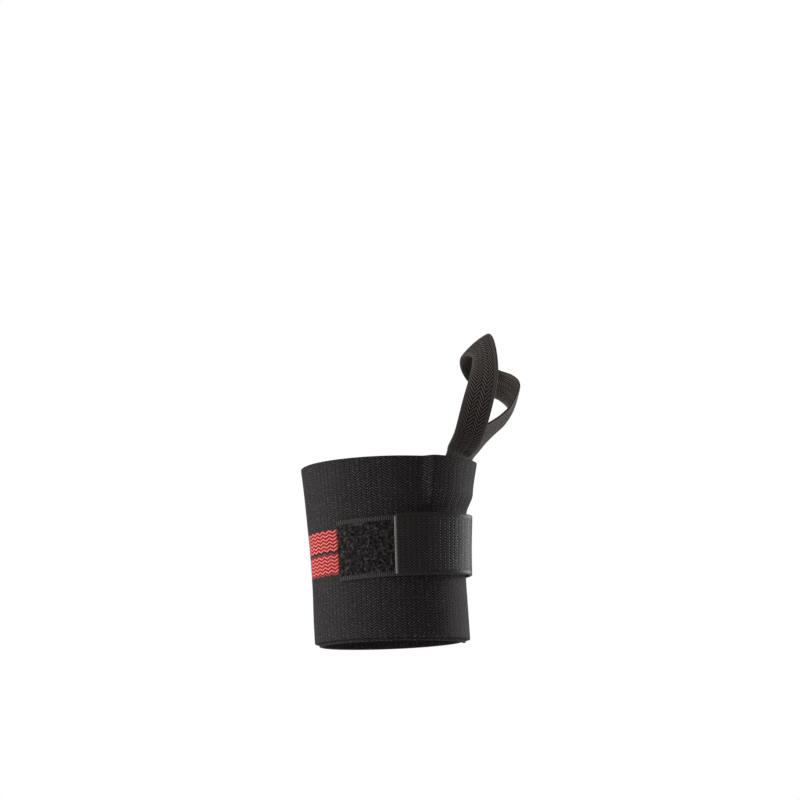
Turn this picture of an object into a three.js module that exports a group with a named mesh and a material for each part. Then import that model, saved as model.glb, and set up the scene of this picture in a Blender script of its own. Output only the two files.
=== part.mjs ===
// A wrist wrap in the form that it takes on a left wrist: an elastic band wound round the wrist,
// a narrow elastic loop for the thumb, and a closure strap whose hook tape fastens to a patch of
// loop pile on the band. Lengths are in millimetres and angles in degrees. +Z runs along the arm
// towards the fingers, the back of the hand faces -Y and the thumb is at +X. The origin is the
// middle of the hollow that the wrist fills.
import * as THREE from 'three';
import { mergeVertices } from 'three/addons/utils/BufferGeometryUtils.js';

// The hollow for the wrist, at its elbow edge
const WRIST_WIDTH = 58.8;
const WRIST_DEPTH = 42;

// The space left between pieces that lie on each other
const GAP = 0.3;

// The band. Angles count from the thumb side over the back of the hand, and past 360 they are
// on the second turn, which lies on the first one.
const BAND_WIDTH = 75;
const BAND_THICKNESS = 1.5;
const BAND_START = 5;
const BAND_LENGTH = 289;
const BAND_DRIFT = 1.2; // how much nearer the fingers the second turn lies
const STEP_LENGTH = 6; // how much of a layer climbs over an end beneath it

// The thumb loop: a strip with both its ends sewn one on the other under the band's outer turn
const LOOP_WIDTH = 13;
const LOOP_THICKNESS = 1.2;
const LOOP_TAIL = 11; // how deep its ends reach under the band's edge
const OUTER_TAIL = { angle: 33, lean: 15 }; // where it leaves the band, and its slant
const INNER_TAIL = { angle: 29, lean: 27 };
const LOOP_REACH = 29; // from where it leaves the band out past the thumb
const LOOP_PALM_REACH = 34; // from there to the palm side of the thumb
const LOOP_RISE = 59; // from the band's edge up to the web beside the thumb

// The patch of loop pile on the band's outer turn
const PATCH_START = 375;
const PATCH_LENGTH = 60;
const PATCH_WIDTH = 25;
const PATCH_THICKNESS = 1.3;

// The hook tape under the strap's end, and how far it shows past that end
const HOOK_LENGTH = 32;
const HOOK_THICKNESS = 1.0;
const HOOK_MARGIN = 0.6;

// The closure strap, sewn on the band's outer end
const STRAP_WIDTH = 25.4;
const STRAP_THICKNESS = 1.3;
const STRAP_SEAM = 20;
const STRAP_LENGTH = 117.2;
const STRAP_SLOPE = 0.04; // how much it falls towards the elbow edge along its way
const STRAP_LEVEL = -0.4; // the height of its middle line on the back of the hand

// The wrist's outline at seven levels, evenly spaced from the elbow edge to the hand edge. The
// sides are shares of half the wrist's width and the depth is a share of half its depth.
const WRIST_SECTIONS = [
  { thumbSide: 0.983, littleSide: 1.013, depth: 1.0 },
  { thumbSide: 0.976, littleSide: 1.025, depth: 0.99 },
  { thumbSide: 0.965, littleSide: 1.032, depth: 0.985 },
  { thumbSide: 0.977, littleSide: 1.055, depth: 0.985 },
  { thumbSide: 1.006, littleSide: 1.088, depth: 1.0 },
  { thumbSide: 1.03, littleSide: 1.122, depth: 1.02 },
  { thumbSide: 1.11, littleSide: 1.168, depth: 1.05 },
];

// The thumb loop's middle line outside the band, from its strand on the back of the hand over
// the web, round the thumb's palm side and back. out, palm and rise are shares of LOOP_REACH,
// LOOP_PALM_REACH and LOOP_RISE, counted from where the loop leaves the band. The face columns
// are the direction of its outer face, and cup is how far its edges fall back from its middle,
// as a share of its width.
const LOOP_STATIONS = [
  { out: 0.1, palm: -0.01, rise: 0.1, faceX: 0.6, faceY: -0.8, faceZ: 0.05, cup: 0.05 },
  { out: 0.18, palm: -0.03, rise: 0.18, faceX: 0.4, faceY: -0.91, faceZ: 0.1, cup: 0.03 },
  { out: 0.3, palm: -0.01, rise: 0.37, faceX: 0.08, faceY: -0.98, faceZ: 0.15, cup: 0.02 },
  { out: 0.42, palm: 0.1, rise: 0.59, faceX: -0.25, faceY: -0.9, faceZ: 0.3, cup: 0.03 },
  { out: 0.46, palm: 0.22, rise: 0.76, faceX: -0.55, faceY: -0.75, faceZ: 0.32, cup: 0.05 },
  { out: 0.44, palm: 0.39, rise: 0.9, faceX: -0.72, faceY: -0.48, faceZ: 0.48, cup: 0.08 },
  { out: 0.36, palm: 0.6, rise: 0.955, faceX: -0.68, faceY: -0.2, faceZ: 0.7, cup: 0.1 },
  { out: 0.31, palm: 0.8, rise: 0.94, faceX: -0.55, faceY: 0.25, faceZ: 0.8, cup: 0.1 },
  { out: 0.34, palm: 0.98, rise: 0.87, faceX: -0.35, faceY: 0.7, faceZ: 0.6, cup: 0.08 },
  { out: 0.46, palm: 1.09, rise: 0.79, faceX: -0.05, faceY: 0.95, faceZ: 0.3, cup: 0.05 },
  { out: 0.64, palm: 1.1, rise: 0.725, faceX: 0.3, faceY: 0.95, faceZ: 0.0, cup: 0.04 },
  { out: 0.84, palm: 1.01, rise: 0.665, faceX: 0.65, faceY: 0.73, faceZ: -0.18, cup: 0.06 },
  { out: 0.95, palm: 0.86, rise: 0.58, faceX: 0.9, faceY: 0.3, faceZ: -0.3, cup: 0.07 },
  { out: 0.93, palm: 0.74, rise: 0.49, faceX: 0.9, faceY: -0.03, faceZ: -0.44, cup: 0.06 },
  { out: 0.81, palm: 0.64, rise: 0.39, faceX: 0.8, faceY: -0.1, faceZ: -0.6, cup: 0.04 },
  { out: 0.63, palm: 0.52, rise: 0.3, faceX: 0.75, faceY: -0.12, faceZ: -0.64, cup: 0.03 },
  { out: 0.47, palm: 0.39, rise: 0.225, faceX: 0.76, faceY: -0.22, faceZ: -0.6, cup: 0.03 },
  { out: 0.33, palm: 0.28, rise: 0.162, faceX: 0.78, faceY: -0.38, faceZ: -0.5, cup: 0.03 },
  { out: 0.18, palm: 0.16, rise: 0.095, faceX: 0.77, faceY: -0.54, faceZ: -0.33, cup: 0.04 },
];

const FULL_TURN = 360;
const BACK_OF_HAND = 90;
const LAYER = BAND_THICKNESS + GAP;
const radians = THREE.MathUtils.degToRad;
const ease = THREE.MathUtils.smoothstep;

const sectionCurve = new THREE.CatmullRomCurve3(
  WRIST_SECTIONS.map((row) => new THREE.Vector3(row.thumbSide, row.littleSide, row.depth)),
  false,
  'catmullrom',
);

// The ellipse that the wrist has at one height, with its thumb side and little finger's side
function wristSection(z) {
  const up = THREE.MathUtils.clamp(z / BAND_WIDTH + 0.5, 0, 1);
  const shares = sectionCurve.getPoint(up);
  return {
    thumbSide: (shares.x * WRIST_WIDTH) / 2,
    littleSide: (shares.y * WRIST_WIDTH) / 2,
    halfDepth: (shares.z * WRIST_DEPTH) / 2,
  };
}

// The direction straight out of the wrist
function outwards(angle, z) {
  const section = wristSection(z);
  const across = Math.cos(radians(angle));
  const halfWidth = across > 0 ? section.thumbSide : section.littleSide;
  const back = Math.sin(radians(angle));
  return new THREE.Vector3(across / halfWidth, -back / section.halfDepth, 0).normalize();
}

// A point at a distance out from the wrist
function onWrist(angle, z, out) {
  const section = wristSection(z);
  const across = Math.cos(radians(angle));
  const halfWidth = across > 0 ? section.thumbSide : section.littleSide;
  const back = Math.sin(radians(angle));
  const point = new THREE.Vector3(across * halfWidth, -back * section.halfDepth, z);
  return point.addScaledVector(outwards(angle, z), out);
}

// The angle that is reached from another one after a length, measured round the wrist at
// mid-height at a distance out from it. A negative length goes back.
const MEASURING_STEP = 0.5;
function angleAfter(start, length, out) {
  const step = Math.sign(length) * MEASURING_STEP;
  let angle = start;
  let left = Math.abs(length);
  while (left > 0) {
    const pace = onWrist(angle, 0, out).distanceTo(onWrist(angle + step, 0, out));
    angle += step * Math.min(1, left / pace);
    left -= pace;
  }
  return angle;
}

// Where one of the thumb loop's slanting ends lies at a depth under the band's edge
function tailAngle(tail, depth) {
  return angleAfter(tail.angle, depth * Math.tan(radians(tail.lean)), LAYER);
}

// Where things end round the wrist
const BAND_END = angleAfter(BAND_START, BAND_LENGTH, LAYER);
const STEP = angleAfter(BAND_START, STEP_LENGTH, LAYER) - BAND_START;
const STRAP_START = angleAfter(BAND_END, -STRAP_SEAM, 2 * LAYER);
const STRAP_END = angleAfter(STRAP_START, STRAP_LENGTH, 2 * LAYER);
const HOOK_END = angleAfter(STRAP_END, HOOK_MARGIN, 2 * LAYER);
const HOOK_START = angleAfter(HOOK_END, -HOOK_LENGTH, 2 * LAYER);
const PATCH_END = angleAfter(PATCH_START, PATCH_LENGTH, 2 * LAYER);

// How far the outer turn is pushed out by the thumb loop's two ends beneath it. Beside them and
// below them it settles back on the inner turn.
const TAILS_SIDE_MARGIN = 1;
const TAILS_SIDE_SLOPE = 10;
const TAILS_MARGIN = 3;
const TAILS_SLOPE = 9;
const TAILS_REACH = LOOP_WIDTH / 2 + TAILS_SIDE_MARGIN;
const TAILS_START = angleAfter(INNER_TAIL.angle, -TAILS_REACH, LAYER);
const TAILS_END = angleAfter(tailAngle(OUTER_TAIL, LOOP_TAIL), TAILS_REACH, LAYER);
function tailsBulge(angle, z) {
  const turn = angle - FULL_TURN;
  const beside = Math.max(TAILS_START - turn, turn - TAILS_END);
  const below = BAND_WIDTH / 2 - LOOP_TAIL - TAILS_MARGIN - z;
  const share = (1 - ease(beside, 0, TAILS_SIDE_SLOPE)) * (1 - ease(below, 0, TAILS_SLOPE));
  return share * (2 * (LOOP_THICKNESS + GAP) + GAP);
}

// The distance from the wrist to the inner face of the band
function underBand(angle, z) {
  const climb = ease(angle, BAND_START + FULL_TURN - STEP, BAND_START + FULL_TURN);
  return climb * LAYER + tailsBulge(angle, z);
}

// The same for what is sewn on the outer turn, between a start and an end
function onOuterTurn(angle, z) {
  return underBand(angle, z) + LAYER;
}

// The strap steps down off the band's end to the single turn beside it. On the thumb side it
// climbs with the outer turn, and there it climbs over the ends of the patch and the hook tape.
function underStrap(angle, z) {
  const turn = angle - FULL_TURN;
  const hookStart = HOOK_START - FULL_TURN;
  const liftStart = Math.min(PATCH_START, hookStart);
  const overBandEnd = THREE.MathUtils.lerp(LAYER, 0, ease(angle, BAND_END, BAND_END + STEP));
  const overPatch = ease(turn, liftStart - STEP, liftStart) * (PATCH_THICKNESS + GAP);
  const overHook = ease(turn, hookStart - STEP, hookStart) * (HOOK_THICKNESS + GAP);
  return onOuterTurn(turn, z) + overBandEnd + overPatch + overHook;
}

// The height of the middle line of the band, and of what lies along the strap's line
function bandLevel(angle) {
  return (BAND_DRIFT * (angle - FULL_TURN - BACK_OF_HAND)) / FULL_TURN;
}
function strapLevel(turn) {
  const length = radians(turn - FULL_TURN - BACK_OF_HAND) * (WRIST_WIDTH / 2);
  return STRAP_LEVEL - STRAP_SLOPE * length;
}

// Bends a straight strip into its place. A strip's box has its length along X, its thickness
// along Y and its width along Z, each from -0.5 to 0.5.
function bentStrip(lengthSteps, widthSteps, place) {
  const geometry = new THREE.BoxGeometry(1, 1, 1, lengthSteps, 1, widthSteps);
  geometry.deleteAttribute('normal');
  geometry.deleteAttribute('uv');
  const position = geometry.attributes.position;
  for (let i = 0; i < position.count; i += 1) {
    const point = place(position.getX(i) + 0.5, position.getY(i) + 0.5, position.getZ(i));
    position.setXYZ(i, point.x, point.y, point.z);
  }
  const welded = mergeVertices(geometry);
  welded.computeVertexNormals();
  return welded;
}

// A strip wound round the wrist from one angle to another
function woundStrip({ start, end, width, thickness, stepAngle, widthSteps, under, level }) {
  const lengthSteps = Math.ceil((end - start) / stepAngle);
  return bentStrip(lengthSteps, widthSteps, (along, through, across) => {
    const angle = THREE.MathUtils.lerp(start, end, along);
    const z = level(angle) + across * width;
    return onWrist(angle, z, under(angle, z) + through * thickness);
  });
}

function wrapBand() {
  return woundStrip({
    start: BAND_START,
    end: BAND_END,
    width: BAND_WIDTH,
    thickness: BAND_THICKNESS,
    stepAngle: 6,
    widthSteps: 16,
    under: underBand,
    level: bandLevel,
  });
}

function loopPatch() {
  return woundStrip({
    start: PATCH_START,
    end: PATCH_END,
    width: PATCH_WIDTH,
    thickness: PATCH_THICKNESS,
    stepAngle: 5,
    widthSteps: 4,
    under: onOuterTurn,
    level: strapLevel,
  });
}

function hookTape() {
  return woundStrip({
    start: HOOK_START,
    end: HOOK_END,
    width: STRAP_WIDTH,
    thickness: HOOK_THICKNESS,
    stepAngle: 5,
    widthSteps: 4,
    under: (angle, z) => onOuterTurn(angle - FULL_TURN, z) + PATCH_THICKNESS + GAP,
    level: (angle) => strapLevel(angle - FULL_TURN),
  });
}

function closureStrap() {
  return woundStrip({
    start: STRAP_START,
    end: STRAP_END,
    width: STRAP_WIDTH,
    thickness: STRAP_THICKNESS,
    stepAngle: 4,
    widthSteps: 4,
    under: underStrap,
    level: (angle) => strapLevel(angle - FULL_TURN),
  });
}

// The direction square to the wrist's surface, which widens towards the hand
function facingOnWrist(angle, z) {
  const along = onWrist(angle + 1, z, 0).sub(onWrist(angle - 1, z, 0));
  const up = onWrist(angle, z + 1, 0).sub(onWrist(angle, z - 1, 0));
  return up.cross(along).normalize();
}

// How far the edges of a strip of the loop's width fall back where it lies on the wrist, on the
// flatter side
function cupOnWrist(angle, z) {
  const middle = onWrist(angle, z, 0);
  const falls = [-1, 1].map((side) => {
    const edgeAngle = angleAfter(angle, (side * LOOP_WIDTH) / 2, LAYER);
    return middle.clone().sub(onWrist(edgeAngle, z, 0)).dot(outwards(angle, z));
  });
  return Math.min(...falls);
}

// The thumb loop runs from the outer of its two ends up the back of the hand, round the thumb
// and down again to the inner one
const LOOP_STEPS = 96;
const LOOP_WIDTH_STEPS = 4;
function thumbLoop() {
  const edge = BAND_WIDTH / 2;
  const innerEnd = LAYER + LOOP_THICKNESS / 2;
  const outerEnd = innerEnd + LOOP_THICKNESS + GAP;
  const middle = [];
  const faces = [];
  const cups = [];
  const addTailPoint = (tail, depth, out) => {
    const angle = tailAngle(tail, depth);
    middle.push(onWrist(angle, edge - depth, out));
    faces.push(facingOnWrist(angle, edge - depth));
    cups.push(cupOnWrist(angle, edge - depth));
  };
  for (const share of [1, 0.5, 0, -0.25]) {
    addTailPoint(OUTER_TAIL, share * LOOP_TAIL, outerEnd);
  }
  const exit = onWrist(OUTER_TAIL.angle, edge, outerEnd);
  for (const row of LOOP_STATIONS) {
    const out = row.out * LOOP_REACH;
    const station = new THREE.Vector3(out, row.palm * LOOP_PALM_REACH, row.rise * LOOP_RISE);
    middle.push(station.add(exit));
    faces.push(new THREE.Vector3(row.faceX, row.faceY, row.faceZ).normalize());
    cups.push(row.cup * LOOP_WIDTH);
  }
  for (const share of [0, 0.5, 1]) {
    addTailPoint(INNER_TAIL, share * LOOP_TAIL, innerEnd);
  }
  const path = new THREE.CatmullRomCurve3(middle, false, 'catmullrom', 0.5);
  const facing = new THREE.CatmullRomCurve3(faces, false, 'catmullrom', 0.5);
  const cupAt = (along) => {
    const place = along * (cups.length - 1);
    const before = Math.min(Math.floor(place), cups.length - 2);
    return THREE.MathUtils.lerp(cups[before], cups[before + 1], place - before);
  };
  return bentStrip(LOOP_STEPS, LOOP_WIDTH_STEPS, (along, through, across) => {
    const point = path.getPoint(along);
    const tangent = path.getTangent(along);
    const outerFace = facing.getPoint(along);
    outerFace.addScaledVector(tangent, -outerFace.dot(tangent)).normalize();
    const sideways = new THREE.Vector3().crossVectors(tangent, outerFace);
    const fall = cupAt(along) * (2 * across) ** 2;
    point.addScaledVector(outerFace, (through - 0.5) * LOOP_THICKNESS - fall);
    return point.addScaledVector(sideways, across * LOOP_WIDTH);
  });
}

// The materials' colours
const BAND_BLACK = 0x211f20;
const STRAP_BLACK = 0x2b2a2a;
const LOOP_BLACK = 0x2d2928;
const HOOK_GREY = 0x8d8d8d;
const PILE_BLACK = 0x191919;

function piece(name, geometry, color, roughness) {
  const material = new THREE.MeshStandardMaterial({ color, roughness, metalness: 0 });
  const mesh = new THREE.Mesh(geometry, material);
  mesh.name = name;
  return mesh;
}

const wristWrap = new THREE.Group();
wristWrap.add(
  piece('wrap_band', wrapBand(), BAND_BLACK, 0.9),
  piece('thumb_loop', thumbLoop(), LOOP_BLACK, 0.85),
  piece('closure_strap', closureStrap(), STRAP_BLACK, 0.75),
  piece('hook_tape', hookTape(), HOOK_GREY, 0.6),
  piece('loop_patch', loopPatch(), PILE_BLACK, 1),
);

export default wristWrap;
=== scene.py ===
import math
import random

import bmesh
import bpy
from mathutils import Matrix, Vector, noise


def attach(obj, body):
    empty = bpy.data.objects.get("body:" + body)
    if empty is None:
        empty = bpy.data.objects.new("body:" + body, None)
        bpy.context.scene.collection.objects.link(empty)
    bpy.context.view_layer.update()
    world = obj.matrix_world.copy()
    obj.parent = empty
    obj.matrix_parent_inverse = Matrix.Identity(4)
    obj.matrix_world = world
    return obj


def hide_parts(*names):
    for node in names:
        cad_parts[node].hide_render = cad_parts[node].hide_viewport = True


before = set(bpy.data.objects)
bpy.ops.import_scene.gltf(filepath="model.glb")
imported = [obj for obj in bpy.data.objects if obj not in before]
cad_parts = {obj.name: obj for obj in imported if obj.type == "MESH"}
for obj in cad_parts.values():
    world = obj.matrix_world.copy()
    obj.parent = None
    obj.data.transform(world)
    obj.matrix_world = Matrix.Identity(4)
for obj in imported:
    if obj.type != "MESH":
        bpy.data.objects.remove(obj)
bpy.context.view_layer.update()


# Camera. It stands in front of the back of the wrap and a little below it, and looks up at it, so
# the upper rim bows upwards. The lens is a long one.
CAMERA_LENS = 67.5
SENSOR_WIDTH = 36
NEAREST_SEEN = 0.01
CAMERA_LOOKS_UP = math.radians(14.8)
CAMERA_ROLL = math.radians(2.1)
CAMERA_DISTANCE = 0.616
PICTURE_SIZE = 800
PICTURE_MIDDLE = PICTURE_SIZE / 2
PICTURE_FOCUS = CAMERA_LENS / SENSOR_WIDTH * PICTURE_SIZE
FRONT_POINT = Vector((0, -0.0245, 0))
FRONT_PIXEL = (389.8, 544.8)

forward = Vector((0, math.cos(CAMERA_LOOKS_UP), math.sin(CAMERA_LOOKS_UP)))
level_right = Vector((1, 0, 0))
level_up = level_right.cross(forward)
camera_right = math.cos(CAMERA_ROLL) * level_right - math.sin(CAMERA_ROLL) * level_up
camera_up = math.sin(CAMERA_ROLL) * level_right + math.cos(CAMERA_ROLL) * level_up
pixel_right = (FRONT_PIXEL[0] - PICTURE_MIDDLE) / PICTURE_FOCUS
pixel_up = (PICTURE_MIDDLE - FRONT_PIXEL[1]) / PICTURE_FOCUS
sight = forward + pixel_right * camera_right + pixel_up * camera_up
camera_data = bpy.data.cameras.new("camera")
camera_data.lens = CAMERA_LENS
camera_data.sensor_width = SENSOR_WIDTH
camera_data.clip_start = NEAREST_SEEN
camera = bpy.data.objects.new("camera", camera_data)
camera_turn = Matrix((camera_right, camera_up, -forward)).transposed().to_4x4()
camera.matrix_world = Matrix.Translation(FRONT_POINT - CAMERA_DISTANCE * sight) @ camera_turn
bpy.context.scene.collection.objects.link(camera)
bpy.context.scene.camera = camera


# Studio. A pale floor far below the wrap, a white surround, a large soft lamp on each side and a
# weak one in front on the left, so that the black cloth's sides catch more light than its middle.
def linear(code):
    parts = [int(code[i:i + 2], 16) / 255 for i in (1, 3, 5)]
    parts = [part / 12.92 if part <= 0.04045 else ((part + 0.055) / 1.055) ** 2.4 for part in parts]
    return (*parts, 1)


def add(tree, kind, settings=None, links=None):
    node = tree.nodes.new(kind)
    for name, value in (settings or {}).items():
        setattr(node, name, value)
    for name, value in (links or {}).items():
        if isinstance(value, bpy.types.NodeSocket):
            tree.links.new(value, node.inputs[name])
        else:
            node.inputs[name].default_value = value
    return node


def new_material(name):
    material = bpy.data.materials.new(name)
    material.use_nodes = True
    material.node_tree.nodes.clear()
    return material, material.node_tree


def make_mesh(name, bm):
    mesh = bpy.data.meshes.new(name)
    bm.to_mesh(mesh)
    bm.free()
    return mesh


def make_object(name, bm):
    made = bpy.data.objects.new(name, make_mesh(name, bm))
    bpy.context.scene.collection.objects.link(made)
    return made


# The floor is small enough to stay below the front view, where only the white surround shows
FLOOR_LEVEL = -0.36
FLOOR_REACH = 2.0
floor_bm = bmesh.new()
bmesh.ops.create_grid(floor_bm, x_segments=2, y_segments=2, size=FLOOR_REACH)
bmesh.ops.translate(floor_bm, vec=(0, 0, FLOOR_LEVEL), verts=floor_bm.verts)
floor = make_object("studio_floor", floor_bm)

# Matte white paint, rolled on: it scatters light evenly and has no gloss
floor_paint, tree = new_material("matte_white_paint")
floor_shader = add(tree, "ShaderNodeBsdfPrincipled", {},
                   {"Base Color": linear("#eeeeee"), "Roughness": 0.9})
add(tree, "ShaderNodeOutputMaterial", {}, {"Surface": floor_shader.outputs[0]})
floor.data.materials.append(floor_paint)

# The lens sees the surround as pure white, and the wrap is lit by it at about half strength
SEEN_STRENGTH = 1.0
LIGHTING_STRENGTH = 0.48
world = bpy.data.worlds.new("studio")
world.use_nodes = True
surround = world.node_tree
seen = surround.nodes["Background"]
seen.inputs["Color"].default_value = linear("#ffffff")
seen.inputs["Strength"].default_value = SEEN_STRENGTH
lighting = add(surround, "ShaderNodeBackground", {},
               {"Color": linear("#ffffff"), "Strength": LIGHTING_STRENGTH})
rays = add(surround, "ShaderNodeLightPath")
chosen = add(surround, "ShaderNodeMixShader", {},
             {0: rays.outputs["Is Camera Ray"], 1: lighting.outputs[0], 2: seen.outputs[0]})
surround.links.new(chosen.outputs[0], surround.nodes["World Output"].inputs[0])
bpy.context.scene.world = world
bpy.context.scene.view_settings.view_transform = "Standard"

# Each lamp's name, its place and side in metres and its power in watts
LAMPS = [
    ("left_softbox", (-0.75, -0.16, 0.1), 0.35, 7),
    ("right_softbox", (0.75, 0.38, 0.1), 0.35, 5),
    ("front_softbox", (-0.9, -0.9, 0.4), 0.7, 0.3),
]
for name, place, size, power in LAMPS:
    lamp_data = bpy.data.lights.new(name, "AREA")
    lamp_data.size = size
    lamp_data.energy = power
    lamp = bpy.data.objects.new(name, lamp_data)
    lamp.location = place
    lamp.rotation_euler = (-Vector(place)).to_track_quat("-Z", "Y").to_euler()
    bpy.context.scene.collection.objects.link(lamp)


# The band. Woven elastic about 1.5 mm thick and 75 mm wide, black with two red stripes along its
# middle, wound about one and two thirds turns round an open hollow, stitched at its outer end.
MM = 0.001
WRIST_WIDTH = 58.8
WRIST_DEPTH = 42
GAP = 0.3
BAND_WIDTH = 75
BAND_THICKNESS = 1.5
BAND_START = 5
BAND_LENGTH = 289
BAND_DRIFT = 1.2
STEP_LENGTH = 6
LAYER = BAND_THICKNESS + GAP
FULL_TURN = 360
BACK_OF_HAND = 90
MEASURING_STEP = 0.5
BAND_ROUNDING = 0.45
BAND_STEPS = (430, 48)

# The hollow's outline at seven levels: its width towards +X, its width towards -X and its depth,
# as shares of WRIST_WIDTH and WRIST_DEPTH
WRIST_SECTIONS = [
    (0.983, 1.013, 1.0),
    (0.976, 1.025, 0.99),
    (0.965, 1.032, 0.985),
    (0.977, 1.055, 0.985),
    (1.006, 1.088, 1.0),
    (1.03, 1.122, 1.02),
    (1.11, 1.168, 1.05),
]

# What the thumb loop's two ends take up under the outer turn. Each tail is the angle where it
# leaves the band and its slant, both in degrees.
LOOP_WIDTH = 13
LOOP_THICKNESS = 1.2
LOOP_TAIL = 11
OUTER_TAIL = (33, 15)
INNER_TAIL = (29, 27)
TAILS_SIDE_MARGIN = 1
TAILS_SIDE_SLOPE = 10
TAILS_MARGIN = 3
TAILS_SLOPE = 9


def ease(value, low, high):
    share = min(1, max(0, (value - low) / (high - low)))
    return share * share * (3 - 2 * share)


# A smooth curve through points, which are of any number of coordinates
def through_points(points, along):
    place = along * (len(points) - 1)
    index = min(int(place), len(points) - 2)
    share = place - index
    here = Vector(points[index])
    after = Vector(points[index + 1])
    before = Vector(points[index - 1]) if index > 0 else 2 * here - after
    beyond = Vector(points[index + 2]) if index + 2 < len(points) else 2 * after - here
    pace = (after - before) * 0.5
    next_pace = (beyond - here) * 0.5
    bend = -3 * here + 3 * after - 2 * pace - next_pace
    twist = 2 * here - 2 * after + pace + next_pace
    return here + pace * share + bend * share ** 2 + twist * share ** 3


def wrist_section(z, across):
    up = min(1, max(0, z / BAND_WIDTH + 0.5))
    thumb_side, little_side, depth = through_points(WRIST_SECTIONS, up)
    half_width = (thumb_side if across > 0 else little_side) * WRIST_WIDTH / 2
    return half_width, depth * WRIST_DEPTH / 2


def outwards(angle, z):
    across = math.cos(math.radians(angle))
    half_width, half_depth = wrist_section(z, across)
    return Vector((across / half_width, -math.sin(math.radians(angle)) / half_depth, 0)).normalized()


def on_wrist(angle, z, out):
    across = math.cos(math.radians(angle))
    half_width, half_depth = wrist_section(z, across)
    point = Vector((across * half_width, -math.sin(math.radians(angle)) * half_depth, z))
    return point + outwards(angle, z) * out


def angle_after(start, length, out):
    step = math.copysign(MEASURING_STEP, length)
    angle = start
    left = abs(length)
    while left > 0:
        pace = (on_wrist(angle, 0, out) - on_wrist(angle + step, 0, out)).length
        angle += step * min(1, left / pace)
        left -= pace
    return angle


def tail_angle(tail, depth):
    angle, lean = tail
    return angle_after(angle, depth * math.tan(math.radians(lean)), LAYER)


BAND_END = angle_after(BAND_START, BAND_LENGTH, LAYER)
STEP = angle_after(BAND_START, STEP_LENGTH, LAYER) - BAND_START
TAILS_REACH = LOOP_WIDTH / 2 + TAILS_SIDE_MARGIN
TAILS_START = angle_after(INNER_TAIL[0], -TAILS_REACH, LAYER)
TAILS_END = angle_after(tail_angle(OUTER_TAIL, LOOP_TAIL), TAILS_REACH, LAYER)


def tails_bulge(angle, z):
    turn = angle - FULL_TURN
    beside = max(TAILS_START - turn, turn - TAILS_END)
    below = BAND_WIDTH / 2 - LOOP_TAIL - TAILS_MARGIN - z
    share = (1 - ease(beside, 0, TAILS_SIDE_SLOPE)) * (1 - ease(below, 0, TAILS_SLOPE))
    return share * (2 * (LOOP_THICKNESS + GAP) + GAP)


def under_band(angle, z):
    climb = ease(angle, BAND_START + FULL_TURN - STEP, BAND_START + FULL_TURN)
    return climb * LAYER + tails_bulge(angle, z)


def band_level(angle):
    return BAND_DRIFT * (angle - FULL_TURN - BACK_OF_HAND) / FULL_TURN


# Cuts a straight strip, notes on it the millimetres along and across, and bends it into place
def cut_strip(name, length, width, steps, place):
    bm = bmesh.new()
    bmesh.ops.create_grid(bm, x_segments=steps[0], y_segments=steps[1], size=0.5)
    cloth_uv = bm.loops.layers.uv.new("cloth_mm")
    for face in bm.faces:
        for loop in face.loops:
            loop[cloth_uv].uv = ((loop.vert.co.x + 0.5) * length, loop.vert.co.y * width)
    for vert in bm.verts:
        vert.co = place(vert.co.x + 0.5, vert.co.y) * MM
    bmesh.ops.reverse_faces(bm, faces=bm.faces)
    piece = make_object(name, bm)
    piece.data.shade_smooth()
    return piece


# Gives a strip its wall and rounds the edges where that wall turns sharper than this angle
SHARP_TURN = 55
ROUNDING_SEGMENTS = 2


def thicken(piece, thickness, rounding):
    wall = piece.modifiers.new("wall", "SOLIDIFY")
    wall.thickness = thickness * MM
    wall.offset = 0
    edge = piece.modifiers.new("edge", "BEVEL")
    edge.width = rounding * MM
    edge.segments = ROUNDING_SEGMENTS
    edge.limit_method = "ANGLE"
    edge.angle_limit = math.radians(SHARP_TURN)


def lerp(low, high, share):
    return low + (high - low) * share


# The cloth lies a little unevenly, by less than the gap between its turns
UNEVEN_BY = 0.12
UNEVEN_PACE = 0.06


def place_on_band(along, across):
    angle = lerp(BAND_START, BAND_END, along)
    z = band_level(angle) + across * BAND_WIDTH
    out = under_band(angle, z) + BAND_THICKNESS / 2
    uneven = UNEVEN_BY * noise.noise(Vector((angle, z, 0)) * UNEVEN_PACE)
    return on_wrist(angle, z, out + uneven)


band = cut_strip("wrap_band_cloth", BAND_LENGTH, BAND_WIDTH, BAND_STEPS, place_on_band)
thicken(band, BAND_THICKNESS, BAND_ROUNDING)


# Zigzag ridges that run along a strip, as a woven elastic has: 1 on a ridge, 0 between ridges.
# Each is a row of slanting strokes, which fade in a narrow stretch where the slant turns.
RIDGE_FOOT = -0.35
TURN_REACH = 0.4
LEFT_AT_TURN = 0.3


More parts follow.
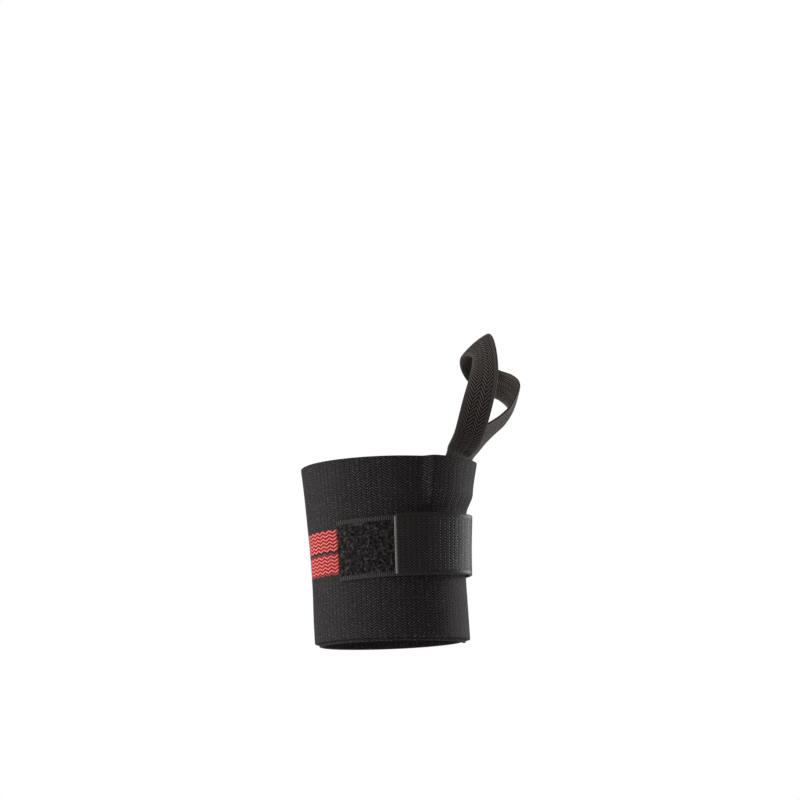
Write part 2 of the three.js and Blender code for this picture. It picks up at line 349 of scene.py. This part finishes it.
def zigzag(tree, along, across, column, slope, pitch):
    fold = add(tree, "ShaderNodeMath", {"operation": "PINGPONG"}, {0: along, 1: column})
    shifted = add(tree, "ShaderNodeMath", {"operation": "MULTIPLY_ADD"},
                  {0: fold.outputs[0], 1: slope, 2: across})
    turned = add(tree, "ShaderNodeMath", {"operation": "MULTIPLY"},
                 {0: shifted.outputs[0], 1: 2 * math.pi / pitch})
    wave = add(tree, "ShaderNodeMath", {"operation": "SINE"}, {0: turned.outputs[0]})
    ridge = add(tree, "ShaderNodeMapRange", {"interpolation_type": "SMOOTHSTEP"},
                {"Value": wave.outputs[0], "From Min": RIDGE_FOOT, "From Max": 1})
    nearest = add(tree, "ShaderNodeMath", {"operation": "PINGPONG"},
                  {0: fold.outputs[0], 1: column / 2})
    stroke = add(tree, "ShaderNodeMapRange", {"interpolation_type": "SMOOTHSTEP"},
                 {"Value": nearest.outputs[0], "From Min": 0, "From Max": TURN_REACH,
                  "To Min": LEFT_AT_TURN})
    broken = add(tree, "ShaderNodeMath", {"operation": "MULTIPLY"},
                 {0: ridge.outputs[0], 1: stroke.outputs[0]})
    return broken.outputs[0]


# Where a value lies between two others, with a soft border
def between(tree, value, low, high, border):
    rise = add(tree, "ShaderNodeMapRange", {"interpolation_type": "SMOOTHSTEP"},
               {"Value": value, "From Min": low - border, "From Max": low + border})
    fall = add(tree, "ShaderNodeMapRange", {"interpolation_type": "SMOOTHSTEP"},
               {"Value": value, "From Min": high - border, "From Max": high + border,
                "To Min": 1, "To Max": 0})
    both = add(tree, "ShaderNodeMath", {"operation": "MULTIPLY"},
               {0: rise.outputs[0], 1: fall.outputs[0]})
    return both.outputs[0]


# A colour mix: its setting, its sockets for the colours at shares 0 and 1, and the mixed colour
MIXED_COLOURS = {"data_type": "RGBA"}
LOW = 6
HIGH = 7
MIX = 2

CLOTH_GLOSS = 0.18
SHEEN_ROUGHNESS = 0.3


def cloth_coordinates(tree):
    cloth = add(tree, "ShaderNodeUVMap", {"uv_map": "cloth_mm"})
    parts = add(tree, "ShaderNodeSeparateXYZ", {}, {0: cloth.outputs[0]})
    return cloth.outputs[0], parts.outputs[0], parts.outputs[1]


def finish_cloth(tree, colour, height, depth, roughness, sheen):
    bump = add(tree, "ShaderNodeBump", {},
               {"Height": height, "Distance": depth * MM, "Strength": 1})
    shader = add(tree, "ShaderNodeBsdfPrincipled", {}, {
        "Base Color": colour,
        "Roughness": roughness,
        "Specular IOR Level": CLOTH_GLOSS,
        "Sheen Weight": sheen,
        "Sheen Roughness": SHEEN_ROUGHNESS,
        "Normal": bump.outputs[0],
    })
    add(tree, "ShaderNodeOutputMaterial", {}, {"Surface": shader.outputs[0]})


# Woven polyester and rubber elastic, dull and a little worn. Its zigzag ridges are drawn 1.15 mm
# apart, coarser than they are, so that they show. On the black the ridges are painted lighter, a
# painted sheen on their crests, with painted shade, near black, between them. In the red stripes
# they are 1.5 mm apart, with a dark red ground between them, and fine grey lint lies on the black.
RIDGE_COLUMN = 1.75
BLACK_PITCH = 1.15
BLACK_SLOPE = 0.95
RED_PITCH = 1.5
RED_SLOPE = 0.55
FIBRES_PER_MM = 1.6
WORN_PATCHES_PER_MM = 0.12
LINT_PER_MM = 0.9
FIBRE_RELIEF = 0.35
STRIPES_MIDDLE = -1.2
STRIPES_WIDTH = 18.4
STRIPES_PARTING = 1.2
RAGGED_SLOPE = 0.5
RAGGED_SHIFT = 0.4
STRIPE_BORDER = 0.12

elastic, tree = new_material("woven_elastic")
cloth, along, across = cloth_coordinates(tree)
black_ridges = zigzag(tree, along, across, RIDGE_COLUMN, BLACK_SLOPE, BLACK_PITCH)
red_ridges = zigzag(tree, along, across, RIDGE_COLUMN, RED_SLOPE, RED_PITCH)
fibres = add(tree, "ShaderNodeTexNoise", {},
             {"Vector": cloth, "Scale": FIBRES_PER_MM, "Detail": 3})
patches = add(tree, "ShaderNodeTexNoise", {},
              {"Vector": cloth, "Scale": WORN_PATCHES_PER_MM, "Detail": 2})
fold = add(tree, "ShaderNodeMath", {"operation": "PINGPONG"}, {0: along, 1: RIDGE_COLUMN})
ragged = add(tree, "ShaderNodeMath", {"operation": "MULTIPLY_ADD"},
             {0: fold.outputs[0], 1: RAGGED_SLOPE, 2: across}).outputs[0]
stripes_middle = STRIPES_MIDDLE + RAGGED_SHIFT
both_stripes = between(tree, ragged, stripes_middle - STRIPES_WIDTH / 2,
                       stripes_middle + STRIPES_WIDTH / 2, STRIPE_BORDER)
parting = between(tree, ragged, stripes_middle - STRIPES_PARTING / 2,
                  stripes_middle + STRIPES_PARTING / 2, STRIPE_BORDER)
stripes = add(tree, "ShaderNodeMath", {"operation": "SUBTRACT", "use_clamp": True},
              {0: both_stripes, 1: parting}).outputs[0]
worn_black = add(tree, "ShaderNodeMix", MIXED_COLOURS,
                 {0: patches.outputs[0], LOW: linear("#2a2325"), HIGH: linear("#463b3f")}).outputs[MIX]
lint = add(tree, "ShaderNodeTexNoise", {},
           {"Vector": cloth, "Scale": LINT_PER_MM, "Detail": 4, "Roughness": 0.8})
lit_lint = add(tree, "ShaderNodeMapRange", {"interpolation_type": "SMOOTHSTEP"},
               {"Value": lint.outputs[0], "From Min": 0.5, "From Max": 0.7})
speckled = add(tree, "ShaderNodeMix", MIXED_COLOURS,
               {0: lit_lint.outputs[0], LOW: worn_black, HIGH: linear("#7d7073")}).outputs[MIX]
# The black: a painted sheen on the ridges' crests and painted shade, near black, between them
black = add(tree, "ShaderNodeMix", MIXED_COLOURS,
            {0: black_ridges, LOW: linear("#030203"), HIGH: speckled}).outputs[MIX]
red_shown = add(tree, "ShaderNodeMapRange", {"interpolation_type": "SMOOTHSTEP"},
                {"Value": red_ridges, "From Min": 0.0, "From Max": 0.4})
red_yarn = add(tree, "ShaderNodeMix", MIXED_COLOURS,
               {0: fibres.outputs[0], LOW: linear("#e4403d"), HIGH: linear("#fb827b")}).outputs[MIX]
red = add(tree, "ShaderNodeMix", MIXED_COLOURS,
          {0: red_shown.outputs[0], LOW: linear("#5a0b0f"), HIGH: red_yarn}).outputs[MIX]
colour = add(tree, "ShaderNodeMix", MIXED_COLOURS,
             {0: stripes, LOW: black, HIGH: red}).outputs[MIX]
ridges = add(tree, "ShaderNodeMix", {"data_type": "FLOAT"},
             {0: stripes, 2: black_ridges, 3: red_ridges})
relief = add(tree, "ShaderNodeMath", {"operation": "MULTIPLY_ADD"},
             {0: fibres.outputs[0], 1: FIBRE_RELIEF, 2: ridges.outputs[0]})
finish_cloth(tree, colour, relief.outputs[0], depth=0.4, roughness=0.7, sheen=0.03)
band.data.materials.append(elastic)
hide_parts("wrap_band")
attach(band, "root")


# The thumb loop. Narrow black elastic 13 mm wide, folded into a loop with both ends sewn under
# the outer turn. It rises from the band's upper edge, leans out to the side, turns over at its
# top and comes back down beside the place that it left.
LOOP_REACH = 29
LOOP_PALM_REACH = 34
LOOP_RISE = 59
LOOP_ROUNDING = 0.4
LOOP_STEPS = (300, 16)
LOOP_MEASURING_STEPS = 500
TANGENT_STEP = 0.0005

# Along the loop: its place in X, Y and Z as shares of the three reaches, the outer face's
# direction, and how far its edges fall back as a share of its width
LOOP_STATIONS = [
    (0.1, -0.01, 0.1, 0.6, -0.8, 0.05, 0.05),
    (0.18, -0.03, 0.18, 0.4, -0.91, 0.1, 0.03),
    (0.3, -0.01, 0.37, 0.08, -0.98, 0.15, 0.02),
    (0.42, 0.1, 0.59, -0.25, -0.9, 0.3, 0.03),
    (0.46, 0.22, 0.76, -0.55, -0.75, 0.32, 0.05),
    (0.44, 0.39, 0.9, -0.72, -0.48, 0.48, 0.08),
    (0.36, 0.6, 0.955, -0.68, -0.2, 0.7, 0.1),
    (0.31, 0.8, 0.94, -0.55, 0.25, 0.8, 0.1),
    (0.34, 0.98, 0.87, -0.35, 0.7, 0.6, 0.08),
    (0.46, 1.09, 0.79, -0.05, 0.95, 0.3, 0.05),
    (0.64, 1.1, 0.725, 0.3, 0.95, 0.0, 0.04),
    (0.84, 1.01, 0.665, 0.65, 0.73, -0.18, 0.06),
    (0.95, 0.86, 0.58, 0.9, 0.3, -0.3, 0.07),
    (0.93, 0.74, 0.49, 0.9, -0.03, -0.44, 0.06),
    (0.81, 0.64, 0.39, 0.8, -0.1, -0.6, 0.04),
    (0.63, 0.52, 0.3, 0.75, -0.12, -0.64, 0.03),
    (0.47, 0.39, 0.225, 0.76, -0.22, -0.6, 0.03),
    (0.33, 0.28, 0.162, 0.78, -0.38, -0.5, 0.03),
    (0.18, 0.16, 0.095, 0.77, -0.54, -0.33, 0.04),
]


def facing_on_wrist(angle, z):
    along = on_wrist(angle + 1, z, 0) - on_wrist(angle - 1, z, 0)
    up = on_wrist(angle, z + 1, 0) - on_wrist(angle, z - 1, 0)
    return up.cross(along).normalized()


def cup_on_wrist(angle, z):
    middle = on_wrist(angle, z, 0)
    falls = []
    for side in (-1, 1):
        edge_angle = angle_after(angle, side * LOOP_WIDTH / 2, LAYER)
        falls.append((middle - on_wrist(edge_angle, z, 0)).dot(outwards(angle, z)))
    return min(falls)


# How deep under the band's edge the tails are held, as shares of their length
OUTER_TAIL_SHARES = (1, 0.5, 0, -0.25)
INNER_TAIL_SHARES = (0, 0.5, 1)
loop_middle = []
loop_faces = []
loop_cups = []
inner_out = LAYER + LOOP_THICKNESS / 2
outer_out = inner_out + LOOP_THICKNESS + GAP


def add_tail_point(tail, depth, out):
    angle = tail_angle(tail, depth) if depth else tail[0]
    z = BAND_WIDTH / 2 - depth
    loop_middle.append(on_wrist(angle, z, out))
    loop_faces.append(facing_on_wrist(angle, z))
    loop_cups.append(cup_on_wrist(angle, z))


for share in OUTER_TAIL_SHARES:
    add_tail_point(OUTER_TAIL, share * LOOP_TAIL, outer_out)
loop_exit = on_wrist(OUTER_TAIL[0], BAND_WIDTH / 2, outer_out)
for out, palm, rise, face_x, face_y, face_z, cup in LOOP_STATIONS:
    reached = Vector((out * LOOP_REACH, palm * LOOP_PALM_REACH, rise * LOOP_RISE))
    loop_middle.append(loop_exit + reached)
    loop_faces.append(Vector((face_x, face_y, face_z)).normalized())
    loop_cups.append(cup * LOOP_WIDTH)
for share in INNER_TAIL_SHARES:
    add_tail_point(INNER_TAIL, share * LOOP_TAIL, inner_out)

loop_path = []
for i in range(LOOP_MEASURING_STEPS + 1):
    loop_path.append(through_points(loop_middle, i / LOOP_MEASURING_STEPS))
LOOP_LENGTH = sum((loop_path[i + 1] - loop_path[i]).length for i in range(LOOP_MEASURING_STEPS))


def place_on_loop(along, across):
    point = through_points(loop_middle, along)
    ahead = through_points(loop_middle, min(1, along + TANGENT_STEP))
    behind = through_points(loop_middle, max(0, along - TANGENT_STEP))
    tangent = (ahead - behind).normalized()
    face = through_points(loop_faces, along)
    face = (face - tangent * face.dot(tangent)).normalized()
    place = along * (len(loop_cups) - 1)
    before = min(int(place), len(loop_cups) - 2)
    cup = lerp(loop_cups[before], loop_cups[before + 1], place - before)
    sideways = tangent.cross(face)
    return point - face * cup * (2 * across) ** 2 + sideways * across * LOOP_WIDTH


thumb_loop = cut_strip("thumb_loop_elastic", LOOP_LENGTH, LOOP_WIDTH, LOOP_STEPS, place_on_loop)
thicken(thumb_loop, LOOP_THICKNESS, LOOP_ROUNDING)

# Narrow woven elastic: four zigzag columns along it between two smooth selvages, whose grey is
# painted highlight for the light they catch. Its strokes are drawn 1.15 mm apart, coarser than they
# are, so that they show, with a painted sheen on their crests and painted shade between them.
SELVAGE = 1.7
LOOP_COLUMNS = 4
LOOP_SLOPE = 0.9
LOOP_PITCH = 1.15
LOOP_SELVAGE_BORDER = 0.25
LOOP_FIBRES_PER_MM = 1.8
LOOP_FIBRE_RELIEF = 0.3
narrow, tree = new_material("narrow_woven_elastic")
cloth, along, across = cloth_coordinates(tree)
column = (LOOP_WIDTH - 2 * SELVAGE) / LOOP_COLUMNS
ridges = zigzag(tree, across, along, column, LOOP_SLOPE, LOOP_PITCH)
fibres = add(tree, "ShaderNodeTexNoise", {},
             {"Vector": cloth, "Scale": LOOP_FIBRES_PER_MM, "Detail": 3})
inside = between(tree, across, -LOOP_WIDTH / 2 + SELVAGE, LOOP_WIDTH / 2 - SELVAGE,
                 LOOP_SELVAGE_BORDER)
# The strokes: a painted sheen on their crests and painted shade, near black, between them
middle = add(tree, "ShaderNodeMix", MIXED_COLOURS,
             {0: ridges, LOW: linear("#030202"), HIGH: linear("#5a4f4a")}).outputs[MIX]
# The selvages: black yarn, mottled by its fibres, painted grey as a highlight for the light they catch
selvage_colour = add(tree, "ShaderNodeMix", MIXED_COLOURS,
                {0: fibres.outputs[0], LOW: linear("#2e2827"), HIGH: linear("#453e3b")}).outputs[MIX]
colour = add(tree, "ShaderNodeMix", MIXED_COLOURS,
             {0: inside, LOW: selvage_colour, HIGH: middle}).outputs[MIX]
shown = add(tree, "ShaderNodeMath", {"operation": "MULTIPLY"}, {0: ridges, 1: inside})
relief = add(tree, "ShaderNodeMath", {"operation": "MULTIPLY_ADD"},
             {0: fibres.outputs[0], 1: LOOP_FIBRE_RELIEF, 2: shown.outputs[0]})
finish_cloth(tree, colour, relief.outputs[0], depth=0.4, roughness=0.65, sheen=0.04)
thumb_loop.data.materials.append(narrow)
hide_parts("thumb_loop")
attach(thumb_loop, "root")


# The patch of loop pile. Brushed nylon loops on a woven tape 25 mm wide, black with greyish
# specks, with bare selvages above and below, sewn on the band's outer turn.
PATCH_START = 375
PATCH_LENGTH = 60
PATCH_WIDTH = 25
PATCH_THICKNESS = 1.3
PATCH_SELVAGE = 1.9
TAPE_THICKNESS = 0.8
TAPE_ROUNDING = 0.25
PATCH_STEPS = (200, 84)
STRAP_SLOPE = 0.04
STRAP_LEVEL = -0.4
PATCH_END = angle_after(PATCH_START, PATCH_LENGTH, 2 * LAYER)


def strap_level(turn):
    length = math.radians(turn - FULL_TURN - BACK_OF_HAND) * WRIST_WIDTH / 2
    return STRAP_LEVEL - STRAP_SLOPE * length


def on_outer_turn(angle, z):
    return under_band(angle, z) + LAYER


# The pile stands up within the selvages, in tufts of two sizes
PILE_FLANK = 0.5
PILE_RISE = 0.12
PILE_TUFTS = 0.42
BROAD_TUFTS_PER_MM = 0.7
BROAD_SHARE = 0.6
FINE_TUFTS_PER_MM = 1.6
FINE_SHARE = 0.4


def pile_height(along, across):
    from_selvage = PATCH_WIDTH / 2 - PATCH_SELVAGE - abs(across * PATCH_WIDTH)
    inside = min(1, max(0, from_selvage / PILE_FLANK))
    spot = Vector((along * PATCH_LENGTH, across * PATCH_WIDTH, 0))
    broad = noise.noise(spot * BROAD_TUFTS_PER_MM) * BROAD_SHARE
    fine = noise.noise(spot * FINE_TUFTS_PER_MM) * FINE_SHARE
    return inside * (PILE_RISE + PILE_TUFTS * (broad + fine))


def place_on_patch(along, across):
    angle = lerp(PATCH_START, PATCH_END, along)
    z = strap_level(angle) + across * PATCH_WIDTH
    out = on_outer_turn(angle, z) + TAPE_THICKNESS / 2 + pile_height(along, across)
    return on_wrist(angle, z, out)


patch = cut_strip("loop_patch_tape", PATCH_LENGTH, PATCH_WIDTH, PATCH_STEPS, place_on_patch)
thicken(patch, TAPE_THICKNESS, TAPE_ROUNDING)

# Brushed nylon pile, matt and fluffy. The loops are too fine to count, so grey specks stand for
# them, and the selvages show the tape's cross threads, drawn coarser than they are.
SPECKS_PER_MM = 0.75
HAIRS_PER_MM = 1.3
HAIR_RELIEF = 0.8
HALF_THREAD = 0.4
PATCH_SELVAGE_BORDER = 0.3
pile, tree = new_material("brushed_loop_pile")
cloth, along, across = cloth_coordinates(tree)
tufts = add(tree, "ShaderNodeTexNoise", {},
            {"Vector": cloth, "Scale": SPECKS_PER_MM, "Detail": 5, "Roughness": 0.75})
hairs = add(tree, "ShaderNodeTexVoronoi", {"feature": "DISTANCE_TO_EDGE"},
            {"Vector": cloth, "Scale": HAIRS_PER_MM})
specks = add(tree, "ShaderNodeMapRange", {"interpolation_type": "SMOOTHSTEP"},
             {"Value": tufts.outputs[0], "From Min": 0.48, "From Max": 0.64})
threads = add(tree, "ShaderNodeMath", {"operation": "PINGPONG"}, {0: along, 1: HALF_THREAD})
threads = add(tree, "ShaderNodeMapRange", {"interpolation_type": "SMOOTHSTEP"},
              {"Value": threads.outputs[0], "From Min": 0.12, "From Max": 0.3})
inside = between(tree, across, -PATCH_WIDTH / 2 + PATCH_SELVAGE,
                 PATCH_WIDTH / 2 - PATCH_SELVAGE, PATCH_SELVAGE_BORDER)
fluff = add(tree, "ShaderNodeMix", MIXED_COLOURS,
            {0: specks.outputs[0], LOW: linear("#050404"), HIGH: linear("#554e4e")}).outputs[MIX]
selvage_colour = add(tree, "ShaderNodeMix", MIXED_COLOURS,
                {0: threads.outputs[0], LOW: linear("#141212"), HIGH: linear("#4a4646")}).outputs[MIX]
colour = add(tree, "ShaderNodeMix", MIXED_COLOURS,
             {0: inside, LOW: selvage_colour, HIGH: fluff}).outputs[MIX]
relief = add(tree, "ShaderNodeMath", {"operation": "MULTIPLY_ADD"},
             {0: hairs.outputs[0], 1: HAIR_RELIEF, 2: tufts.outputs[0]})
finish_cloth(tree, colour, relief.outputs[0], depth=0.35, roughness=0.9, sheen=0.15)
patch.data.materials.append(pile)
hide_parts("loop_patch")
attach(patch, "root")


# The closure strap. Black herringbone webbing 25.4 mm wide, sewn on the band's outer end, drawn
# round over the side below the thumb loop and pressed on the patch.
STRAP_WIDTH = 25.4
STRAP_THICKNESS = 1.3
STRAP_SEAM = 20
STRAP_LENGTH = 117.2
STRAP_ROUNDING = 0.4
STRAP_STEPS = (240, 28)
HOOK_LENGTH = 32
HOOK_THICKNESS = 1.0
HOOK_MARGIN = 0.6
STRAP_START = angle_after(BAND_END, -STRAP_SEAM, 2 * LAYER)
STRAP_END = angle_after(STRAP_START, STRAP_LENGTH, 2 * LAYER)
HOOK_END = angle_after(STRAP_END, HOOK_MARGIN, 2 * LAYER)
HOOK_START = angle_after(HOOK_END, -HOOK_LENGTH, 2 * LAYER)


def under_strap(angle, z):
    turn = angle - FULL_TURN
    if turn < BAND_START + FULL_TURN:
        step = ease(angle, BAND_END, BAND_END + STEP)
        return lerp(LAYER, 0, step) + under_band(turn, z) + LAYER
    over_patch = ease(turn, PATCH_START - STEP, PATCH_START) * (PATCH_THICKNESS + GAP)
    hook_start = HOOK_START - FULL_TURN
    over_hook = ease(turn, hook_start - STEP, hook_start) * (HOOK_THICKNESS + GAP)
    return on_outer_turn(turn, z) + over_patch + over_hook


def place_on_strap(along, across):
    angle = lerp(STRAP_START, STRAP_END, along)
    z = strap_level(angle - FULL_TURN) + across * STRAP_WIDTH
    return on_wrist(angle, z, under_strap(angle, z) + STRAP_THICKNESS / 2)


strap = cut_strip("closure_strap_webbing", STRAP_LENGTH, STRAP_WIDTH, STRAP_STEPS, place_on_strap)
thicken(strap, STRAP_THICKNESS, STRAP_ROUNDING)

# Woven polyester webbing with a slight shine: herringbone strokes between plain selvages, drawn
# 1.15 mm apart, coarser than they are, so that they show, with a painted sheen on their crests and
# painted shade, near black, between them
WEBBING_COLUMN = 1.9
WEBBING_SLOPE = 1.0
WEBBING_PITCH = 1.15
WEBBING_SELVAGE_BORDER = 0.2
WEBBING_FIBRES_PER_MM = 1.8
WEBBING_FIBRE_RELIEF = 0.25
webbing, tree = new_material("herringbone_webbing")
cloth, along, across = cloth_coordinates(tree)
ridges = zigzag(tree, along, across, WEBBING_COLUMN, WEBBING_SLOPE, WEBBING_PITCH)
fibres = add(tree, "ShaderNodeTexNoise", {},
             {"Vector": cloth, "Scale": WEBBING_FIBRES_PER_MM, "Detail": 3})
inside = between(tree, across, -STRAP_WIDTH / 2 + SELVAGE, STRAP_WIDTH / 2 - SELVAGE,
                 WEBBING_SELVAGE_BORDER)
# The strokes: a painted sheen on their crests and painted shade, near black, between them
middle = add(tree, "ShaderNodeMix", MIXED_COLOURS,
             {0: ridges, LOW: linear("#030202"), HIGH: linear("#3d3635")}).outputs[MIX]
selvage_colour = add(tree, "ShaderNodeMix", MIXED_COLOURS,
                {0: fibres.outputs[0], LOW: linear("#171414"), HIGH: linear("#252121")}).outputs[MIX]
colour = add(tree, "ShaderNodeMix", MIXED_COLOURS,
             {0: inside, LOW: selvage_colour, HIGH: middle}).outputs[MIX]
shown = add(tree, "ShaderNodeMath", {"operation": "MULTIPLY"}, {0: ridges, 1: inside})
relief = add(tree, "ShaderNodeMath", {"operation": "MULTIPLY_ADD"},
             {0: fibres.outputs[0], 1: WEBBING_FIBRE_RELIEF, 2: shown.outputs[0]})
finish_cloth(tree, colour, relief.outputs[0], depth=0.35, roughness=0.42, sheen=0.05)
strap.data.materials.append(webbing)
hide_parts("closure_strap")
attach(strap, "root")


# The hook tape. A strip of moulded nylon hooks under the strap's end, a little narrower than the
# strap. Its mid grey is partly the nylon's own tone and partly painted highlight, so that it shows
# as a thin pale line past that end.
HOOK_INSET = 0.8
HOOK_WIDTH = STRAP_WIDTH - 2 * HOOK_INSET
HOOK_ROUNDING = 0.2
HOOK_STEPS = (64, 24)


def place_on_hook_tape(along, across):
    angle = lerp(HOOK_START, HOOK_END, along)
    turn = angle - FULL_TURN
    z = strap_level(turn) + across * HOOK_WIDTH
    return on_wrist(angle, z, on_outer_turn(turn, z) + PATCH_THICKNESS + GAP + HOOK_THICKNESS / 2)


hook_tape = cut_strip("hook_tape_strip", HOOK_LENGTH, HOOK_WIDTH, HOOK_STEPS, place_on_hook_tape)
thicken(hook_tape, HOOK_THICKNESS, HOOK_ROUNDING)

# Moulded nylon: hooks about 1.2 mm apart, nearly in rows, which scatter light; each hook is painted
# lighter at its middle as a painted glint
HOOKS_PER_MM = 0.85
nylon, tree = new_material("moulded_nylon_hooks")
cloth, along, across = cloth_coordinates(tree)
hook_rows = add(tree, "ShaderNodeTexVoronoi", {},
                {"Vector": cloth, "Scale": HOOKS_PER_MM, "Randomness": 0.25})
# Painted glints: lighter grey at each hook's middle, the mid grey between the hooks
colour = add(tree, "ShaderNodeMix", MIXED_COLOURS,
             {0: hook_rows.outputs[0], LOW: linear("#7c7977"), HIGH: linear("#545150")}).outputs[MIX]
finish_cloth(tree, colour, hook_rows.outputs[0], depth=0.3, roughness=0.45, sheen=0)
hook_tape.data.materials.append(nylon)
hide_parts("hook_tape")
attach(hook_tape, "root")


# Stitching. Black polyester thread, slightly glossy: a boxed cross where the strap is sewn on the
# band's end, a line along each edge of the patch, and two lines across the band's outer end.
STITCH_LENGTH = 2.2
STITCH_SPACING = 2.9
STITCH_RADIUS = 0.2
STITCH_ENDS = (0.1, 0.9)
PLIES_PER_METRE = 2500

# Spun polyester thread of several plies, drawn as fine mottling with a slight gloss
thread, tree = new_material("polyester_thread")
twist = add(tree, "ShaderNodeTexCoord")
plies = add(tree, "ShaderNodeTexNoise", {},
            {"Vector": twist.outputs["Object"], "Scale": PLIES_PER_METRE})
colour = add(tree, "ShaderNodeMix", MIXED_COLOURS,
             {0: plies.outputs[0], LOW: linear("#1d1b1b"), HIGH: linear("#4a4646")}).outputs[MIX]
finish_cloth(tree, colour, plies.outputs[0], depth=0.05, roughness=0.4, sheen=0)

stitch_bm = bmesh.new()
bmesh.ops.create_uvsphere(stitch_bm, u_segments=6, v_segments=5, radius=1)
bmesh.ops.scale(stitch_bm, vec=(STITCH_RADIUS, STITCH_RADIUS, STITCH_LENGTH / 2),
                verts=stitch_bm.verts)
one_stitch = make_mesh("one_stitch", stitch_bm)


# The way out from the hollow at a point, taken on its plain ellipse
def out_from(point):
    return Vector((point.x / WRIST_WIDTH ** 2, point.y / WRIST_DEPTH ** 2, 0)).normalized()


def add_copy(bm, mesh, placing):
    copy = mesh.copy()
    copy.transform(placing)
    bm.from_mesh(copy)
    bpy.data.meshes.remove(copy)


# Lays stitches along lines, each a start and an end as shares along and across the strip
def sew(name, lines, length, width, place, lift):
    bm = bmesh.new()
    for first, last in lines:
        span = math.hypot((last[0] - first[0]) * length, (last[1] - first[1]) * width)
        count = max(2, round(span / STITCH_SPACING))
        for i in range(count):
            ends = []
            for stitch_end in STITCH_ENDS:
                share = (i + stitch_end) / count
                along = lerp(first[0], last[0], share)
                across = lerp(first[1], last[1], share)
                ends.append(place(along, across))
            middle = (ends[0] + ends[1]) / 2
            turn = (ends[1] - ends[0]).to_track_quat("Z", "Y").to_matrix().to_4x4()
            shift = Matrix.Translation((middle + out_from(middle) * lift) * MM)
            add_copy(bm, one_stitch, shift @ turn @ Matrix.Scale(MM, 4))
    stitches = make_object(name, bm)
    stitches.data.shade_smooth()
    stitches.data.materials.append(thread)
    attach(stitches, "root")


# Where the lines run, as shares of a strip's length and, from its middle, of its width
SEAM_MARGIN = 2
LINE_SPACING = 3
BOX_START = 0.02
BOX_END = (STRAP_SEAM - SEAM_MARGIN) / STRAP_LENGTH
BOX_EDGE = 0.42
PATCH_LINE_START = 0.01
PATCH_LINE_EDGE = 0.458
BAND_LINE_SPACING = LINE_SPACING / BAND_LENGTH
BAND_LINE_EDGE = 0.485

# How far the stitches' middles lie out of a strip's middle surface
STRAP_LIFT = STRAP_THICKNESS / 2 + 0.05
PATCH_LIFT = TAPE_THICKNESS / 2 + 0.02
BAND_LIFT = BAND_THICKNESS / 2 + 0.03

box = [(BOX_START, -BOX_EDGE), (BOX_END, -BOX_EDGE), (BOX_END, BOX_EDGE), (BOX_START, BOX_EDGE)]
box_lines = [(box[i], box[(i + 1) % 4]) for i in range(4)] + [(box[0], box[2]), (box[1], box[3])]
sew("strap_stitches", box_lines, STRAP_LENGTH, STRAP_WIDTH, place_on_strap, STRAP_LIFT)
patch_lines = []
for edge in (-PATCH_LINE_EDGE, PATCH_LINE_EDGE):
    patch_lines.append(((PATCH_LINE_START, edge), (1 - PATCH_LINE_START, edge)))
sew("patch_stitches", patch_lines, PATCH_LENGTH, PATCH_WIDTH, place_on_patch, PATCH_LIFT)
band_lines = []
for along in (1 - BAND_LINE_SPACING, 1 - 2 * BAND_LINE_SPACING):
    band_lines.append(((along, -BAND_LINE_EDGE), (along, BAND_LINE_EDGE)))
sew("band_stitches", band_lines, BAND_LENGTH, BAND_WIDTH, place_on_band, BAND_LIFT)


# The pile's loose loops. Fine dark arches that stand up from the patch at random and lean all
# ways, as brushed loops do. Each stands for several of the real ones, which are finer.
PILE_LOOPS = 2600
ARCH_RADIUS = 0.55
ARCH_THREAD = 0.07
ARCH_SIDES = 3
ARCH_STEPS = 6
ARCH_MERGE = 0.001
PILE_END = 0.008
PILE_EDGE = 0.42
PILE_LEAN = 0.8
PILE_LIFT = 0.3
SMALLEST_ARCH = 0.6
LARGEST_ARCH = 1.15
arch_bm = bmesh.new()
bmesh.ops.create_circle(arch_bm, segments=ARCH_SIDES, radius=ARCH_THREAD)
bmesh.ops.translate(arch_bm, vec=(ARCH_RADIUS, 0, 0), verts=arch_bm.verts)
bmesh.ops.spin(arch_bm, geom=arch_bm.verts[:] + arch_bm.edges[:], cent=(0, 0, 0), axis=(0, -1, 0),
               angle=math.pi, steps=ARCH_STEPS, use_duplicate=False)
bmesh.ops.remove_doubles(arch_bm, verts=arch_bm.verts, dist=ARCH_MERGE)
bmesh.ops.recalc_face_normals(arch_bm, faces=arch_bm.faces)
one_arch = make_mesh("one_arch", arch_bm)

random.seed(7)
pile_bm = bmesh.new()
for i in range(PILE_LOOPS):
    along = random.uniform(PILE_END, 1 - PILE_END)
    across = random.uniform(-PILE_EDGE, PILE_EDGE)
    foot = place_on_patch(along, across)
    out = out_from(foot)
    lean = Vector([random.uniform(-PILE_LEAN, PILE_LEAN) for axis in range(3)])
    turn = (out + lean).to_track_quat("Z", "Y").to_matrix().to_4x4()
    spun = Matrix.Rotation(random.uniform(0, 2 * math.pi), 4, "Z")
    size = Matrix.Scale(MM * random.uniform(SMALLEST_ARCH, LARGEST_ARCH), 4)
    shift = Matrix.Translation((foot + out * PILE_LIFT) * MM)
    add_copy(pile_bm, one_arch, shift @ turn @ spun @ size)
pile_loops = make_object("pile_loops", pile_bm)
pile_loops.data.shade_smooth()
pile_loops.data.materials.append(thread)
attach(pile_loops, "root")
